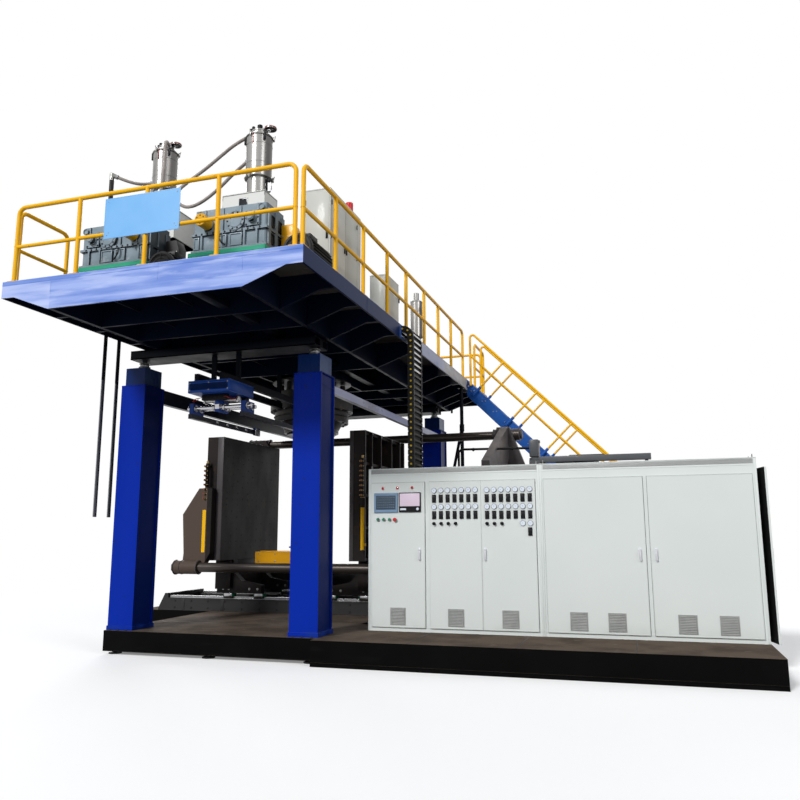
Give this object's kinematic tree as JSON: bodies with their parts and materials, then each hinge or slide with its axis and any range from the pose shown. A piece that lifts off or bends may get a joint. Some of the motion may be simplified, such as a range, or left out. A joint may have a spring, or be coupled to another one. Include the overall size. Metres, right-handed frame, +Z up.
{
  "type": "blow moulding machine",
  "caption": "Large extrusion blow moulding machine: sliding two-platen clamp under a raised railed platform with extruders and die head, beside a row of control cabinets.",
  "frame": {"origin": "on the floor below the axis of the die head, at the underside of the middle levelling pad", "axes": "+X to the right along the machine's front, +Y away from the front, +Z up"},
  "size_m": [9.2102, 8.914, 6.757],
  "materials": {
    "base_black": "satin",
    "column_blue": "satin gloss",
    "frame_blue": "satin gloss",
    "clamp_dark": "satin",
    "rail_yellow": "gloss",
    "cabinet_cream": "satin",
    "sign_blue": "satin",
    "gearbox_grey": "satin gloss",
    "stainless": "brushed",
    "steel": "ground",
    "chrome": "polished",
    "motor_black": "satin",
    "chain_black": "matte",
    "instrument_black": "matte",
    "button_green": "gloss",
    "button_red": "gloss",
    "hose_grey": "satin",
    "tank_grey": "satin",
    "takeout_blue": "satin gloss"
  },
  "bodies": {
    "base": {"base_frame": "base_black", "levelling_pads": "base_black", "columns": "column_blue", "column_braces": "frame_blue", "clamp_bed": "base_black", "guide_rails": "steel", "control_skid": "base_black", "cabinet_left": "cabinet_cream", "cabinet_right": "cabinet_cream", "hydraulic_unit": "tank_grey", "blow_unit": "clamp_dark"},
    "blow_pin_pair": {"blow_pins": "chrome"},
    "cabinet_door_1": {"door_1": "cabinet_cream", "instruments_1": "instrument_black"},
    "cabinet_door_2": {"door_2": "cabinet_cream", "instruments_2": "instrument_black"},
    "cabinet_door_3": {"door_3": "cabinet_cream", "instruments_3": "instrument_black"},
    "cabinet_door_4": {"door_4": "cabinet_cream"},
    "cabinet_door_5": {"door_5": "cabinet_cream"},
    "cabinet_end_door": {"end_door": "base_black"},
    "button_1": {"green_button_1": "button_green"},
    "button_2": {"green_button_2": "button_green"},
    "button_3": {"green_button_3": "button_green"},
    "emergency_stop": {"stop_button": "button_red"},
    "door_handle_1": {"handle_1": "instrument_black"},
    "door_handle_3": {"handle_3": "instrument_black"},
    "door_handle_4": {"handle_4": "instrument_black"},
    "door_handle_5": {"handle_5": "instrument_black"},
    "platform": {"platform_frame": "frame_blue", "platform_deck": "base_black", "cross_beams": "base_black", "lift_posts": "column_blue", "handrails": "rail_yellow", "sign_plate": "sign_blue", "gearbox_left": "gearbox_grey", "gearbox_right": "gearbox_grey", "extruder_barrels": "steel", "extruder_stands": "clamp_dark", "drive_motors": "motor_black", "loaders": "stainless", "platform_cabinets": "cabinet_cream", "die_head": "steel", "cable_chain": "chain_black", "takeout_rails": "takeout_blue", "hose_1": "hose_grey", "hose_2": "hose_grey", "hose_3": "hose_grey", "hose_4": "hose_grey"},
    "head_core": {"die_core": "steel"},
    "stair_flight": {"stair": "frame_blue"},
    "clamp_frame": {"left_platen": "clamp_dark", "yoke": "clamp_dark", "tie_bars": "clamp_dark", "clamp_cylinder": "tank_grey"},
    "moving_platen": {"right_platen": "clamp_dark", "piston_rod": "chrome"},
    "takeout": {"takeout_carriage": "takeout_blue"},
    "left_arm": {"gripper_left": "takeout_blue"},
    "right_arm": {"gripper_right": "takeout_blue"}
  },
  "joints": [
    {"name": "platform_lift", "type": "slide", "parent": "base", "child": "platform", "axis": [0, 0, 1], "range_m": [0, 0.3]},
    {"name": "stair_swing", "type": "hinge", "parent": "platform", "child": "stair_flight", "pos_m": [2.15, 2.62, 4.15], "axis": [0, 1, 0], "range_deg": [0, 4.3]},
    {"name": "clamp_frame_slide", "type": "slide", "parent": "base", "child": "clamp_frame", "axis": [1, 0, 0], "range_m": [0, 0.5]},
    {"name": "moving_platen_slide", "type": "slide", "parent": "base", "child": "moving_platen", "axis": [-1, 0, 0], "range_m": [0, 0.5]},
    {"name": "blow_pin_lift", "type": "slide", "parent": "base", "child": "blow_pin_pair", "axis": [0, 0, 1], "range_m": [0, 0.25]},
    {"name": "die_gap", "type": "slide", "parent": "platform", "child": "head_core", "axis": [0, 0, 1], "range_m": [0, 0.03]},
    {"name": "takeout_travel", "type": "slide", "parent": "platform", "child": "takeout", "axis": [0, 1, 0], "range_m": [0, 1.2]},
    {"name": "left_arm_grip", "type": "slide", "parent": "takeout", "child": "left_arm", "axis": [1, 0, 0], "range_m": [0, 0.1]},
    {"name": "right_arm_grip", "type": "slide", "parent": "takeout", "child": "right_arm", "axis": [-1, 0, 0], "range_m": [0, 0.1]},
    {"name": "door_1_hinge", "type": "hinge", "parent": "base", "child": "cabinet_door_1", "pos_m": [1.837, -2.123, 1.225], "axis": [0, 0, -1], "range_deg": [0, 90]},
    {"name": "door_2_hinge", "type": "hinge", "parent": "base", "child": "cabinet_door_2", "pos_m": [2.595, -2.123, 1.225], "axis": [0, 0, -1], "range_deg": [0, 90]},
    {"name": "door_3_hinge", "type": "hinge", "parent": "base", "child": "cabinet_door_3", "pos_m": [3.912, -2.123, 1.225], "axis": [0, 0, 1], "range_deg": [0, 90]},
    {"name": "door_4_hinge", "type": "hinge", "parent": "base", "child": "cabinet_door_4", "pos_m": [4.014, -2.123, 1.225], "axis": [0, 0, -1], "range_deg": [0, 90]},
    {"name": "door_5_hinge", "type": "hinge", "parent": "base", "child": "cabinet_door_5", "pos_m": [6.311, -2.123, 1.225], "axis": [0, 0, 1], "range_deg": [0, 90]},
    {"name": "end_door_hinge", "type": "hinge", "parent": "base", "child": "cabinet_end_door", "pos_m": [6.3843, -1.723, 1.239], "axis": [0, 0, 1], "range_deg": [-10.8, 79]},
    {"name": "handle_1_turn", "type": "hinge", "parent": "cabinet_door_1", "child": "door_handle_1", "pos_m": [2.468, -2.123, 1.27], "axis": [0, 1, 0], "range_deg": [0, 90]},
    {"name": "handle_3_turn", "type": "hinge", "parent": "cabinet_door_3", "child": "door_handle_3", "pos_m": [3.295, -2.123, 1.27], "axis": [0, -1, 0], "range_deg": [0, 90]},
    {"name": "handle_4_turn", "type": "hinge", "parent": "cabinet_door_4", "child": "door_handle_4", "pos_m": [5.082, -2.123, 1.27], "axis": [0, 1, 0], "range_deg": [0, 90]},
    {"name": "handle_5_turn", "type": "hinge", "parent": "cabinet_door_5", "child": "door_handle_5", "pos_m": [5.257, -2.123, 1.27], "axis": [0, -1, 0], "range_deg": [0, 90]},
    {"name": "button_1_press", "type": "slide", "parent": "cabinet_door_1", "child": "button_1", "axis": [0, 1, 0], "range_m": [0, 0.005], "stiffness_N_per_m": 300},
    {"name": "button_2_press", "type": "slide", "parent": "cabinet_door_1", "child": "button_2", "axis": [0, 1, 0], "range_m": [0, 0.005], "stiffness_N_per_m": 300},
    {"name": "button_3_press", "type": "slide", "parent": "cabinet_door_1", "child": "button_3", "axis": [0, 1, 0], "range_m": [0, 0.005], "stiffness_N_per_m": 300},
    {"name": "emergency_stop_press", "type": "slide", "parent": "cabinet_door_1", "child": "emergency_stop", "axis": [0, 1, 0], "range_m": [0, 0.005], "stiffness_N_per_m": 300}
  ],
  "couplings": [
    {"joint": "stair_swing", "follows": "platform_lift", "rad_per_m": 0.25},
    {"joint": "moving_platen_slide", "follows": "clamp_frame_slide", "ratio": 1},
    {"joint": "right_arm_grip", "follows": "left_arm_grip", "ratio": 1}
  ]
}
